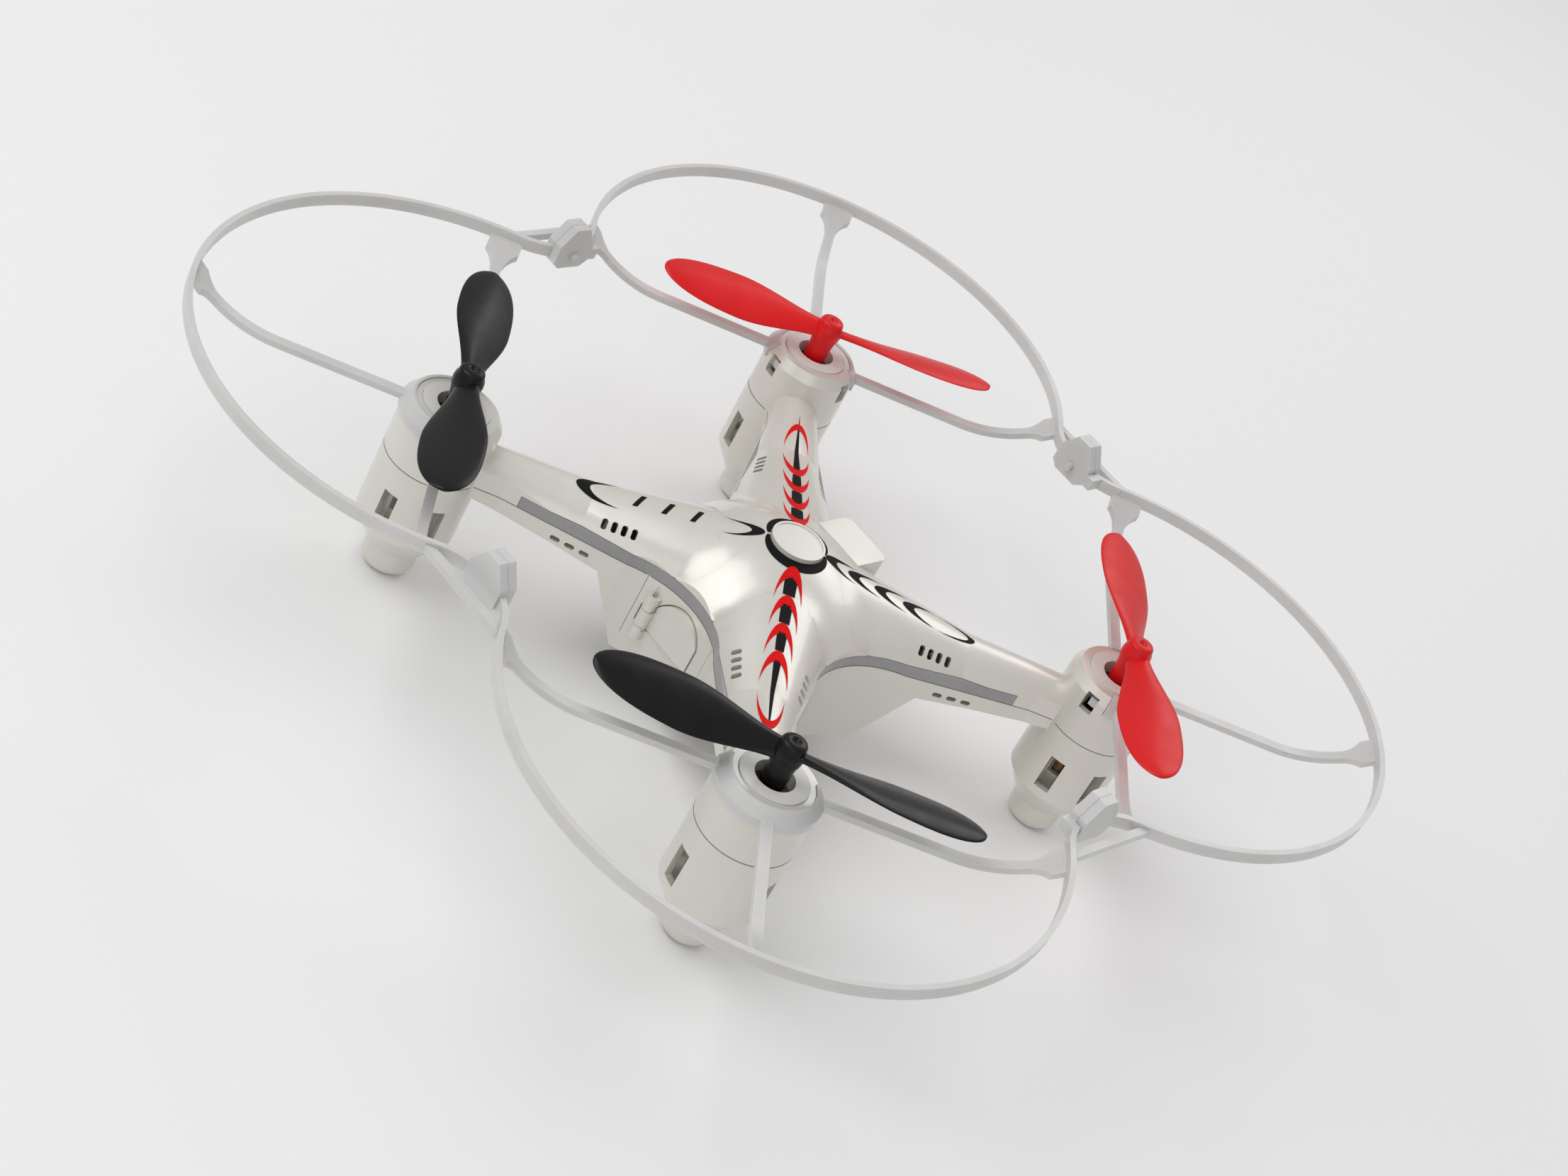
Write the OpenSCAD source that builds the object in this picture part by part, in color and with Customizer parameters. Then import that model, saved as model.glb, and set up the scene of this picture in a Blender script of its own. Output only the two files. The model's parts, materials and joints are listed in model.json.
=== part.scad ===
// Small four-rotor remote control aircraft with ring guards.
// X points to the nose, Y to the left, Z up; the feet stand on Z = 0.

/* [Layout] */
// Distance of each motor axis from the X and Y axes
motor_off = 44; // [40:0.5:50]
// Height of the propeller blades above the ground
blade_z = 41.2; // [40:0.2:44]
// Height of the joint between the two body shells
parting_z = 24.4; // [24:0.1:25]

/* [Body] */
// Distance from the centre to the middle of each hollow side
side_gap = 19.3; // [18:0.1:21]
// Radius of the hollow side's rounded middle
side_r = 17.4; // [15:0.1:20]
// Angle between a hollow side's straight run and its own axis
side_angle = 34.8; // [33:0.1:37]
// Wall thickness of the shells
wall = 1.3; // [1:0.1:1.6]
// Height of the top of the body at its centre
crown_z = 35.9; // [35:0.1:37]
// Radius of the body's domed crown
crown_r = 27.8; // [26:0.1:30]
// Height of the flat belly above the ground
belly_z = 7.7; // [6:0.1:9]
// Height of the joint between the belly and its cover
cover_z = 11.2; // [10.5:0.1:12]
// Height of the light strips
strip_h = 2.3; // [1.8:0.1:2.4]

/* [Motor pods] */
// Outer radius of a motor pod
pod_r = 8.8; // [8.6:0.1:9.4]
// Height of the top face of a motor pod
pod_top = 35.4; // [35:0.1:36]
// Radius of the foot under a motor pod
foot_r = 4.8; // [4.4:0.1:5.2]
// Radius of a motor's can
motor_r = 4.25; // [3.5:0.05:4.3]
// Length of a motor's can
motor_len = 20; // [18:0.5:20]
// Radius of a motor's shaft
shaft_r = 0.5; // [0.4:0.05:0.75]

/* [Propellers] */
// Radius swept by a blade
prop_r = 33.3; // [28:0.1:36]
// Widest chord of a blade
blade_chord = 11.6; // [9:0.1:13]
// Pitch of a blade, in degrees
blade_pitch = 13; // [8:1:16]
// Rest angles: front left, rear left, rear right, front right
prop_rest = [139.6, 45.6, 130, 49.5];

/* [Guards] */
// Radius of a guard's rim, from the motor axis to the middle of the band
rim_r = 47.8; // [46:0.1:50]
// Height of the rim band
rim_h = 2.3; // [1.8:0.1:3]
// Thickness of the rim band
rim_t = 1.0; // [0.8:0.1:1.4]
// Width of a spoke
spoke_w = 1.9; // [1.4:0.1:2.4]
// Thickness of a spoke
spoke_t = 1.2; // [1:0.1:1.6]
// Radius of the curve that leads a rim into its clip
lead_r = 12; // [10:0.5:14]
// Width of a clip plate
clip_w = 8; // [7:0.1:9]
// Height of a clip plate
clip_h = 8.4; // [7.6:0.1:9]

/* [Hidden] */
$fn = 64;
gap = 0.1;
white = [0.90, 0.90, 0.86];
clear_white = [0.86, 0.86, 0.86];
strip_grey = [0.58, 0.58, 0.59];
red = [0.90, 0.05, 0.05];
black = [0.09, 0.09, 0.09];

// Positions of corner 0 to 3: front left, rear left, rear right, front right
function corner_angle(i) = 45 + 90 * i;
function hand(i) = (i % 2 == 0) ? 1 : -1;
arm_len = motor_off * sqrt(2);

// Side outline
side_centre = side_gap + side_r;
arm_half = 4.3;
arm_end = arm_len - 6;

// Line of an arm's ridge circles on its centre plane: distance and height at each end,
// and radii at the start, at ridge_knee along it and at the end
ridge_from = [4, blade_z - 21.1];
ridge_to = [arm_end, blade_z - 15.7];
ridge_r = [15.2, 7.1, 4.8];
ridge_knee = 32.2;
// Flat ceiling inside the crown
ceiling_z = crown_z - 1.7;
// The same for an arm's underside
keel_from = [18, blade_z - 2];
keel_to = [arm_end, blade_z - 0.3];
keel_r = [22, 20, 19];
keel_knee = 20;
// Slope of the belly's four corners: distance at the arm, distance at the belly
belly_corner_top = 29;
belly_corner_low = 22.4;
keel_z = 19;

// Disc in the middle of the crown
disc_r = 4.95;

// Pod profile heights
pod_taper_low = 5.6;
pod_taper_top = 10.5;
pod_chamfer = 33.6;
pod_top_r = 7.6;
pod_in_r = pod_r - wall;
cap_seat = 34.3;
cap_r = 6;
bore_r = 3.5;
motor_top = 33.2;
motor_low = motor_top - motor_len;
sleeve_r = motor_r + gap / 2;
running = 0.05;

// Guard collar
collar_low = 32.2;
collar_r = 9.2;
collar_in = 7.15;
collar_half = 105;
hook_low = 31.7;
hook_top = 33.3;
hook_r = 7.85;
hook_end = 128;
rim_z = blade_z + 0.3;
spoke_z = blade_z - 7.5;
spoke_flat = 31;
spoke_rise_r = 22.9;
spoke_rise_angle = 45;
clip_z = blade_z + 1.9;
clip_t = 1.7;
// The rim's arc meets the lead-in arc where both circles touch
clip_y = sqrt(pow(rim_r + lead_r, 2) - motor_off * motor_off) + motor_off - lead_r;
rim_sweep = 135 - atan2(clip_y + lead_r - motor_off, motor_off);
peg_r = 0.8;

// Charging door
door_w = 10.7;
door_low = 14.8;
door_t = 1.2;
door_x = side_gap + 1.1;
door_arch_r = 6.1;
door_arch_z = 16.9;
hinge_y = 6.6;
hinge_x = -(side_gap + 1.6);
hinge_r = 1.25;
pin_r = 0.5;
hinge_low = 12.4;
hinge_high = 21.6;
panel_half = 9;
knuckle_low = 15.2;
knuckle_high = 18.6;

// Belly contents
battery_size = [29, 20, 7];
battery_x = -11.4;
battery_z = 13.4;
board_size = 25;
board_z = 23;
switch_pos = [0, -9];
switch_travel = 2;
screw_s = 33;
screw_seat = 21.1;

module at_corner(i) { rotate(corner_angle(i)) translate([arm_len, 0, 0]) children(); }

// Region outside one hollow side, on +X, moved outwards by -e. The straight runs start
// just inside the circle, so that they cross it cleanly.
module side_notch(e) {
    run_off = side_r - 0.3 + e;
    start = [side_centre - run_off * cos(side_angle), run_off * sin(side_angle)];
    far = start + 70 * [sin(side_angle), cos(side_angle)];
    translate([side_centre, 0]) circle(side_r + e);
    polygon([[start[0], -start[1]], [far[0], -far[1]], far, start]);
}

// Plan of the cross-shaped body, inset by e
module body_plan(e = 0) {
    difference() {
        circle(arm_end);
        for (a = [0 : 90 : 270]) rotate(a) side_notch(e);
    }
    for (i = [0 : 3]) rotate(corner_angle(i)) translate([30, -arm_half + e])
        square([arm_end - 30, 2 * (arm_half - e)]);
}

// Turned body under a ridge line, one for each arm, with its radii reduced by e
module ridges(from, to, radii, knee, e) {
    run = to - from;
    for (i = [0 : 3]) rotate(corner_angle(i)) translate([from[0], 0, from[1]])
        rotate([0, 90 - atan2(run[1], run[0]), 0]) rotate_extrude() polygon([[0, 0], [radii[0] - e, 0],
            [radii[1] - e, knee], [radii[2] - e, norm(run)], [0, norm(run)]]);
}

// Solid form of the upper body without its pods, reduced by e all round
module upper_form(e) {
    intersection() {
        translate([0, 0, parting_z - 2]) linear_extrude(e > 0 ? ceiling_z - parting_z + 2 : 20) body_plan(e);
        union() {
            translate([0, 0, crown_z - crown_r]) sphere(crown_r - e, $fn = 96);
            ridges(ridge_from, ridge_to, ridge_r, ridge_knee, e);
        }
    }
}

// Solid form of the arms' lower halves
module keel_form(e) {
    intersection() {
        translate([0, 0, keel_z - 3]) linear_extrude(parting_z - keel_z + 5) body_plan(e);
        ridges(keel_from, keel_to, keel_r, keel_knee, e);
    }
}

// Belly block with sloping corners, from z0 up to z1, inset by e
module belly_form(e, z0, z1) {
    slope = atan2(belly_corner_top - belly_corner_low, keel_z - belly_z);
    difference() {
        translate([0, 0, z0]) linear_extrude(z1 - z0) intersection() {
            body_plan(e);
            circle(belly_corner_top + 6);
        }
        for (i = [0 : 3]) rotate(corner_angle(i)) translate([belly_corner_low - e, 0, belly_z])
            rotate([0, slope, 0]) translate([0, -30, -20]) cube([40, 60, 60]);
    }
}

// Windows through a pod's wall at angle a from the outward direction
module pod_window(a, w, z0, z1) {
    rotate(a) translate([5.6, -w / 2, z0]) cube([6, w, z1 - z0]);
}

module ring(r0, r1, z0, z1) {
    translate([0, 0, z0]) difference() {
        cylinder(h = z1 - z0, r = r1);
        translate([0, 0, -1]) cylinder(h = z1 - z0 + 2, r = r0);
    }
}

// Part of a ring between angles a0 and a1
module ring_arc(r0, r1, z0, z1, a0, a1) {
    rotate(a0) rotate_extrude(angle = a1 - a0) translate([r0, z0]) square([r1 - r0, z1 - z0]);
}

module upper_pod_outer() {
    rotate_extrude() polygon([[0, parting_z - 2], [pod_r, parting_z - 2], [pod_r, pod_chamfer],
        [pod_top_r, pod_top], [0, pod_top]]);
}

module upper_pod_cuts() {
    translate([0, 0, parting_z - 1]) cylinder(h = 7.4, r = pod_in_r);
    translate([0, 0, parting_z]) cylinder(h = 33 - parting_z, r = 6.2);
    translate([0, 0, 30]) cylinder(h = 8, r = 5);
    translate([0, 0, cap_seat]) cylinder(h = 3, r = cap_r + running);
    ring_arc(collar_in - running, 11, collar_low - running, pod_top + 1,
        -collar_half - 0.5, collar_half + 0.5);
    for (s = [-1, 1]) {
        ring_arc(5.5, hook_r + gap, hook_low - gap, hook_top + gap,
            min(s * 97, s * (hook_end + 4)), max(s * 97, s * (hook_end + 4)));
        pod_window(s * 125, 2.5, 30.6, 34.2);
    }
}

// Row of vent slots on each flank of each arm, cut along a line tilted by lean; size is the
// slot's length along the arm and its height
module vent_slots(z, first, step, count, reach, size, lean) {
    w = size[0] / 2;
    t = size[1] / 2;
    for (i = [0 : 3], s = [-1, 1]) rotate(corner_angle(i))
        for (k = [0 : count - 1]) translate([first + step * k, s * reach, z]) rotate([-s * lean, 0, 0])
            translate([0, 0, -3]) linear_extrude(6) polygon([[-w, 0.3 - t], [0.25 - w, -t],
                [w - 0.25, -t], [w, 0.3 - t], [w, t - 0.3], [w - 0.25, t], [0.25 - w, t], [-w, t - 0.3]]);
}

// Band that follows one hollow side, on +X, with play e at its edges
module strip_form(depth, e, z0, z1) {
    translate([0, 0, z0]) linear_extrude(z1 - z0) intersection() {
        difference() {
            body_plan(0);
            body_plan(depth);
        }
        translate([10, -29.4 - e]) square([30, 58.8 + 2 * e]);
        polygon([[0, 0], [60, -60], [60, 60]]);
    }
}

module upper_shell() {
    color(white) difference() {
        union() {
            upper_form(0);
            for (i = [0 : 3]) at_corner(i) upper_pod_outer();
            nose();
        }
        translate([0, 0, parting_z - 10]) cylinder(h = 10, r = 80);
        difference() {
            upper_form(wall);
            for (i = [0 : 3]) rotate(corner_angle(i)) translate([screw_s, 0, 20]) cylinder(h = 16, r = 1.9);
        }
        translate([0, 0, crown_z - 0.7]) cylinder(h = 4, r = disc_r + running);
        for (i = [0 : 3]) at_corner(i) upper_pod_cuts();
        for (i = [0 : 3]) rotate(corner_angle(i)) {
            translate([screw_s, 0, 20]) cylinder(h = 9, r = 0.7);
            translate([arm_len - 12, -2.6, parting_z - 1]) cube([8, 5.2, 4.6]);
        }
        for (a = [0 : 90 : 270]) rotate(a)
            strip_form(1.5, gap / 2, parting_z - 1, parting_z + strip_h + gap / 2);
        vent_slots(28.8, 26.8, 1.75, 4, 6.1, [1, 1.9], 45);
    }
}

// Nose block on the front of the crown
module nose() {
    translate([0, 0, parting_z + strip_h + 1]) linear_extrude(blade_z - 8.1 - parting_z - strip_h - 1)
        polygon([[12, -5.6], [18.6, -5.6], [19.7, -4.6], [19.7, 4.6], [18.6, 5.6], [12, 5.6]]);
}

module lower_pod_profile(e) {
    fil = 2.4;
    translate([0, e]) square([foot_r - fil, 12]);
    translate([0, fil]) square([foot_r - e, pod_taper_low]);
    translate([foot_r - fil, fil]) circle(fil - e);
    polygon([[0, pod_taper_low], [5.4 - e, pod_taper_low], [pod_r - e, pod_taper_top],
        [pod_r - e, parting_z + 2], [0, parting_z + 2]]);
}

module lower_pod_cuts() {
    // Space round the motor's sleeve
    difference() {
        union() {
            translate([0, 0, pod_taper_top + 0.4]) cylinder(h = 20, r = pod_in_r);
            translate([0, 0, 6.8]) cylinder(h = 3.8, r = 5.2);
        }
        ring(sleeve_r, sleeve_r + 1, 0, 14);
        for (a = [0 : 90 : 270]) rotate(a + 45) translate([sleeve_r - 0.3, -0.5, 0]) cube([6, 1, 18]);
    }
    translate([0, 0, motor_low - 4]) cylinder(h = 30, r = sleeve_r);
    translate([0, 0, 1.5]) cylinder(h = 20, r = 2.4);
    for (a = [-117, -60, 60, 117]) pod_window(a, 2.9, 12.2, 19.2);
}

module lower_shell() {
    color(white) difference() {
        union() {
            keel_form(0);
            belly_form(0, cover_z, parting_z + 2);
            for (i = [0 : 3]) at_corner(i) rotate_extrude() intersection() {
                lower_pod_profile(0);
                square([20, 60]);
            }
        }
        difference() {
            union() {
                keel_form(wall);
                belly_form(wall, cover_z - 1, parting_z + 3);
            }
            for (i = [0 : 3]) rotate(corner_angle(i)) translate([screw_s, 0, 0]) cylinder(h = 40, r = 2.4);
        }
        translate([0, 0, parting_z]) cylinder(h = 10, r = 80);
        for (i = [0 : 3]) at_corner(i) lower_pod_cuts();
        for (i = [0 : 3]) rotate(corner_angle(i)) {
            translate([screw_s, 0, 0]) cylinder(h = 40, r = 0.95);
            translate([screw_s, 0, 0]) cylinder(h = screw_seat, r = 1.7);
            translate([arm_len - 12, -2.6, parting_z - 1.75]) cube([8, 5.2, 6]);
        }
        translate([-30, -panel_half - gap, 0]) cube([20, 2 * (panel_half + gap), 40]);
        vent_slots(22.2, 33.1, 2.7, 3, 6.6, [1.8, 0.9], 90);
    }
}

// Wall between the two rear arms, with the charging door's opening and hinge
module rear_panel() {
    color(white) difference() {
        union() {
            translate([0, 0, cover_z]) linear_extrude(parting_z - cover_z) intersection() {
                difference() {
                    body_plan(0);
                    body_plan(wall);
                }
                translate([-30, -panel_half]) square([20, 2 * panel_half]);
            }
            hinge_ears();
        }
        door_opening();
        translate([hinge_x, hinge_y, hinge_low - 1]) cylinder(h = 12, r = pin_r);
        translate([hinge_x, hinge_y, knuckle_low - gap])
            cylinder(h = knuckle_high - knuckle_low + 2 * gap, r = hinge_r + 0.3);
    }
}

module hinge_ears() {
    translate([hinge_x, hinge_y, hinge_low]) cylinder(h = hinge_high - hinge_low, r = hinge_r);
    translate([hinge_x, hinge_y - hinge_r, hinge_low]) cube([2.6, 2 * hinge_r, hinge_high - hinge_low]);
}

// Outline of the charging door on the rear wall, grown by e and lowered at its foot by drop
module door_outline(e, drop = 0) {
    intersection() {
        translate([-door_w / 2 - e, door_low - e - drop]) square([door_w + 2 * e, 12]);
        translate([0, door_arch_z]) circle(door_arch_r + e);
    }
    translate([-door_w / 2 - e, door_low - e - drop]) square([door_w + 2 * e, 4 + e + drop]);
}

module door_plate(e, x0, x1, drop = 0) {
    translate([x0, 0, 0]) rotate([90, 0, 90]) linear_extrude(x1 - x0) door_outline(e, drop);
}

module door_opening() {
    door_plate(0.2, -26, -door_x + door_t + 0.2, 0.25);
    door_plate(-0.9, -26, -10);
}

module charge_door() {
    color(white) difference() {
        union() {
            door_plate(0, -door_x, -door_x + door_t);
            translate([hinge_x, hinge_y, knuckle_low]) cylinder(h = knuckle_high - knuckle_low, r = hinge_r);
            translate([-door_x, door_w / 2 - 1, knuckle_low])
                cube([0.6, hinge_y - door_w / 2 + 1, knuckle_high - knuckle_low]);
        }
        translate([hinge_x, hinge_y, knuckle_low - 1]) cylinder(h = 12, r = pin_r + running);
    }
}

module door_pin() {
    color("silver") translate([hinge_x, hinge_y, hinge_low])
        cylinder(h = hinge_high - hinge_low - 0.6, r = pin_r);
}

module bottom_cover() {
    color(white) difference() {
        belly_form(0, belly_z, cover_z);
        belly_form(wall, belly_z + wall, cover_z + 1);
        translate([switch_pos[0] - 3, switch_pos[1] - 1.1, 0]) cube([switch_travel + 4, 2.2, 20]);
    }
}

module crown_disc() {
    color(white) translate([0, 0, crown_z - 0.7]) {
        cylinder(h = 0.9, r = disc_r);
        ring(disc_r - 0.4, disc_r, 0.9, 1.1);
    }
}

module light_strip(a) {
    color(strip_grey) rotate(a) strip_form(1.2, -gap / 2, parting_z, parting_z + strip_h - gap / 2);
}

module motor_cap(i) {
    color(white) at_corner(i) difference() {
        union() {
            ring(bore_r, cap_r, cap_seat, pod_top + 0.3);
            ring(bore_r, 4.9, motor_top - 2.2, cap_seat);
        }
        translate([0, 0, motor_top - 5]) cylinder(h = 5, r = sleeve_r);
    }
}

module motor_can(i) {
    color("peru") at_corner(i) difference() {
        translate([0, 0, motor_low]) cylinder(h = motor_len, r = motor_r);
        translate([0, 0, motor_low - 1]) cylinder(h = motor_len - 0.8, r = motor_r - 0.4);
        translate([0, 0, 0]) cylinder(h = 50, r = shaft_r + running);
    }
}

module end_bell(i) {
    color("white") at_corner(i) difference() {
        union() {
            translate([0, 0, motor_low]) cylinder(h = 1.6, r = motor_r - 0.4);
            translate([0, 0, motor_low - 1.2]) cylinder(h = 1.2, r = motor_r - 0.1);
        }
        translate([0, 0, 0]) cylinder(h = 50, r = shaft_r + running);
    }
}

module motor_shaft(i) {
    color("silver") at_corner(i) {
        translate([0, 0, motor_low - 0.8]) cylinder(h = blade_z + 0.6 - motor_low + 0.8, r = shaft_r);
        // Winding cup on the shaft
        difference() {
            translate([0, 0, motor_low + 3]) cylinder(h = 14, r = 3.3);
            translate([0, 0, motor_low + 2]) cylinder(h = 13.6, r = 2.8);
        }
    }
}

// One blade along +X: a lens of two arcs with a round tip, pitched
module blade() {
    half = blade_chord / 2;
    long = prop_r + 3;
    lens_r = (long * long / 4 + half * half) / (2 * half);
    tip_r = 3.25;
    rotate([blade_pitch, 0, 0]) translate([0, 0, -0.5]) linear_extrude(1) {
        translate([prop_r - tip_r, 0]) circle(tip_r);
        intersection() {
            translate([long / 2, half - lens_r]) circle(lens_r, $fn = 128);
            translate([long / 2, lens_r - half]) circle(lens_r, $fn = 128);
            translate([0, -half]) square([prop_r - tip_r, 2 * half]);
        }
    }
}

module propeller(i) {
    color(i == 0 || i == 3 ? red : black) at_corner(i) rotate(prop_rest[i] - corner_angle(i))
        translate([0, 0, blade_z]) mirror([0, hand(i) > 0 ? 1 : 0, 0]) difference() {
            union() {
                for (a = [0, 180]) rotate(a) blade();
                translate([0, 0, -7.2]) cylinder(h = 5.6, r1 = 2.0, r2 = 2.3);
                translate([0, 0, -1.6]) cylinder(h = 3.2, r = 2.3);
                translate([0, 0, 1.6]) cylinder(h = 0.7, r1 = 2.3, r2 = 1.6);
            }
            translate([0, 0, -8]) cylinder(h = 8.6, r = shaft_r);
        }
}

module guard_spoke() {
    translate([8.2, -spoke_w / 2, spoke_z - spoke_t / 2]) cube([spoke_flat - 8.2, spoke_w, spoke_t]);
    translate([spoke_flat, spoke_w / 2, spoke_z + spoke_rise_r]) rotate([90, 0, 0]) rotate(-90)
        rotate_extrude(angle = spoke_rise_angle, $fn = 128)
            translate([spoke_rise_r - spoke_t / 2, 0]) square([spoke_t, spoke_w]);
}

// Web where a spoke spreads into the rim
module guard_web(reach) {
    translate([reach, 0, 0]) intersection() {
        translate([-4.4, 0, spoke_z + 3.3]) rotate([0, -38.5, 0]) translate([0, -3, -0.5]) cube([9, 6, 1]);
        translate([-4.4, 0, rim_z - 6]) linear_extrude(12) difference() {
            translate([0, -3]) square([4.6, 6]);
            for (s = [-1, 1]) translate([-0.6, s * (spoke_w / 2 + 3.6)]) circle(3.6);
        }
    }
}

// Outline of a clip plate, standing on the X axis
module clip_outline() {
    half = clip_w / 2;
    tall = clip_h / 2;
    polygon([[-half, -tall + 1.2], [-half + 1.4, -tall], [half - 1.4, -tall], [half, -tall + 1.2],
        [half, 0.6], [half - 2.4, tall], [-half + 2.4, tall], [-half, 0.6]]);
}

module clip_plate(y0, y1) {
    translate([0, y1, clip_z]) rotate([90, 0, 0]) linear_extrude(y1 - y0) clip_outline();
}

// Curve from the rim into the clip on the -Y axis, on the +X side for s = 1,
// stopping at angle reach from the clip's middle
module lead_in(s, reach) {
    translate([0, -clip_y - lead_r, 0]) mirror([s > 0 ? 0 : 1, 0, 0])
        ring_arc(lead_r - rim_t / 2, lead_r + rim_t / 2, rim_z - rim_h / 2, rim_z + rim_h / 2,
            134.5 - rim_sweep, 90 - reach);
}

module prop_guard(i) {
    color(clear_white) {
        at_corner(i) {
            rotate(-collar_half) rotate_extrude(angle = 2 * collar_half)
                polygon([[collar_in, collar_low], [collar_r, collar_low], [collar_r, pod_chamfer + 0.2],
                    [pod_top_r + 0.1, pod_top + 0.3], [collar_in, pod_top + 0.3]]);
            for (s = [-1, 1]) ring_arc(collar_in + gap, hook_r, hook_low, hook_top,
                min(s * 98, s * hook_end), max(s * 98, s * hook_end));
            for (a = [-90, 0, 90]) rotate(a) guard_spoke();
            ring_arc(rim_r - rim_t / 2, rim_r + rim_t / 2, rim_z - rim_h / 2, rim_z + rim_h / 2,
                -rim_sweep, rim_sweep);
            for (a = [-90, 0, 90]) rotate(a) guard_web(rim_r - rim_t / 2);
        }
        // Outer half of the clip at the clockwise end, with its peg
        rotate(90 * i) clip_outer_half();
        // Inner half of the clip at the anticlockwise end, with its hole
        rotate(90 * i + 90) clip_inner_half();
    }
}

// Clip on the +X axis, joined to the guard on its +Y side: outer plate and peg
module clip_outer_half() {
    rotate(90) {
        lead_in(1, asin(3.6 / lead_r));
        clip_plate(-clip_y - clip_t / 2 - clip_t - gap / 2 + 0.9, -clip_y - gap / 2 + 0.05);
        translate([0, -clip_y - 1, clip_z - 1.6]) rotate([-90, 0, 0])
            cylinder(h = clip_t + 2.2, r = peg_r - running);
    }
}

// Clip on the +X axis, joined to the guard on its -Y side: inner plate with a hole
module clip_inner_half() {
    rotate(90) {
        lead_in(-1, asin((clip_w / 2 + 0.3) / lead_r));
        difference() {
            union() {
                clip_plate(-clip_y + gap / 2, -clip_y + clip_t);
                translate([-clip_w / 2 - 1.8, -clip_y - 1.3, rim_z - rim_h / 2]) cube([1.6, 3, rim_h]);
                translate([-clip_w / 2 - 0.6, -clip_y + gap / 2, rim_z - rim_h / 2])
                    cube([1.2, clip_t - gap / 2, rim_h]);
            }
            translate([0, -clip_y - 1, clip_z - 1.6]) rotate([-90, 0, 0]) cylinder(h = 6, r = peg_r);
        }
    }
}

// Straight bar that joins two neighbouring rims outside their clip, at angle a
module guard_brace(a) {
    bar_y = clip_y + 5;
    bar = 1.4;
    reach = motor_off - sqrt(pow(rim_r + rim_t / 2, 2) - pow(bar_y + bar / 2 - motor_off, 2));
    color(clear_white) rotate(a + 90) difference() {
        translate([-reach - 2, -bar_y - bar / 2, rim_z - 0.9]) cube([2 * reach + 4, bar, bar]);
        for (s = [-1, 1]) translate([s * motor_off, -motor_off, 0])
            cylinder(h = 60, r = rim_r + rim_t / 2, $fn = 128);
    }
}

module battery_pack() {
    color("royalblue") translate([battery_x, -battery_size[1] / 2, battery_z]) cube(battery_size);
}

module battery_plug() {
    color("white") difference() {
        translate([battery_x - 3.2, -3, 17.4]) cube([3, 6, 5]);
        for (y = [-1.1, 1.1]) translate([battery_x - 4, y, 19]) rotate([0, 90, 0]) cylinder(h = 2.4, r = 0.6);
    }
    color("red") for (y = [-1.1, 1.1]) {
        translate([battery_x - 0.4, y, 21.5]) rotate([0, 90, 0]) cylinder(h = 14, r = 0.5);
        translate([battery_x + 13, y, 21.5]) cylinder(h = board_z - 21.5, r = 0.5);
    }
}

module circuit_board() {
    color("seagreen") difference() {
        translate([-board_size / 2, -board_size / 2, board_z]) cube([board_size, board_size, 1]);
        for (i = [0 : 3]) rotate(corner_angle(i)) translate([board_size / 2 + 3.5, -5, board_z - 1])
            cube([5, 10, 3]);
    }
    color("dimgray") {
        translate([-3.5, -3.5, board_z + 1]) cube([7, 7, 1]);
        translate([5, -7, board_z + 1]) cube([3, 5, 1.2]);
        translate([-9, 2, board_z + 1]) cube([3, 5, 1.2]);
        translate([4, 6, board_z + 1]) cylinder(h = 2.4, r = 1.6);
    }
}

module indicator_lamps() {
    color("honeydew") for (a = [0 : 90 : 270]) rotate(a) translate([side_gap - 3.6, 0, parting_z + 1.4])
        rotate([0, 90, 0]) cylinder(h = 2, r = 0.9);
}

module motor_leads() {
    color("firebrick") for (i = [0 : 3], s = [-1, 1]) rotate(corner_angle(i))
        translate([16.3, s * 4.4, parting_z - 1.2]) rotate(-s * 4.97) rotate([0, 90, 0])
            cylinder(h = 38.6, r = 0.4);
}

module power_switch() {
    color("dimgray") difference() {
        translate([switch_pos[0] - 4, switch_pos[1] - 1.8, belly_z + wall]) cube([8, 3.6, 3.4]);
        translate([switch_pos[0] - 2.9, switch_pos[1] - 1, 0])
            cube([switch_travel + 3.8, 2, belly_z + wall + 1.4]);
    }
}

module switch_slider() {
    color("black") translate([switch_pos[0] - 2.7, switch_pos[1] - 0.9, belly_z + 0.3])
        cube([3, 1.8, wall + 0.9]);
}

module case_screws() {
    color("silver") for (i = [0 : 3]) rotate(corner_angle(i)) translate([screw_s, 0, 0]) {
        translate([0, 0, screw_seat]) cylinder(h = 7.7, r = 0.7);
        difference() {
            translate([0, 0, screw_seat - 1.2]) cylinder(h = 1.2, r = 1.6);
            for (a = [0, 90]) rotate(a) translate([0, 0, screw_seat - 1.6])
                cube([1.8, 0.4, 1.6], center = true);
        }
    }
}

upper_shell();
lower_shell();
rear_panel();
bottom_cover();
crown_disc();
light_strip(0);  // light_strip_front
light_strip(90);  // light_strip_left
light_strip(180);  // light_strip_rear
light_strip(270);  // light_strip_right
motor_cap(0);  // motor_cap_fl
motor_cap(1);  // motor_cap_rl
motor_cap(2);  // motor_cap_rr
motor_cap(3);  // motor_cap_fr
motor_can(0);  // motor_can_fl
motor_can(1);  // motor_can_rl
motor_can(2);  // motor_can_rr
motor_can(3);  // motor_can_fr
end_bell(0);  // end_bell_fl
end_bell(1);  // end_bell_rl
end_bell(2);  // end_bell_rr
end_bell(3);  // end_bell_fr
motor_shaft(0);  // motor_shaft_fl
motor_shaft(1);  // motor_shaft_rl
motor_shaft(2);  // motor_shaft_rr
motor_shaft(3);  // motor_shaft_fr
propeller(0);  // propeller_fl
propeller(1);  // propeller_rl
propeller(2);  // propeller_rr
propeller(3);  // propeller_fr
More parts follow.
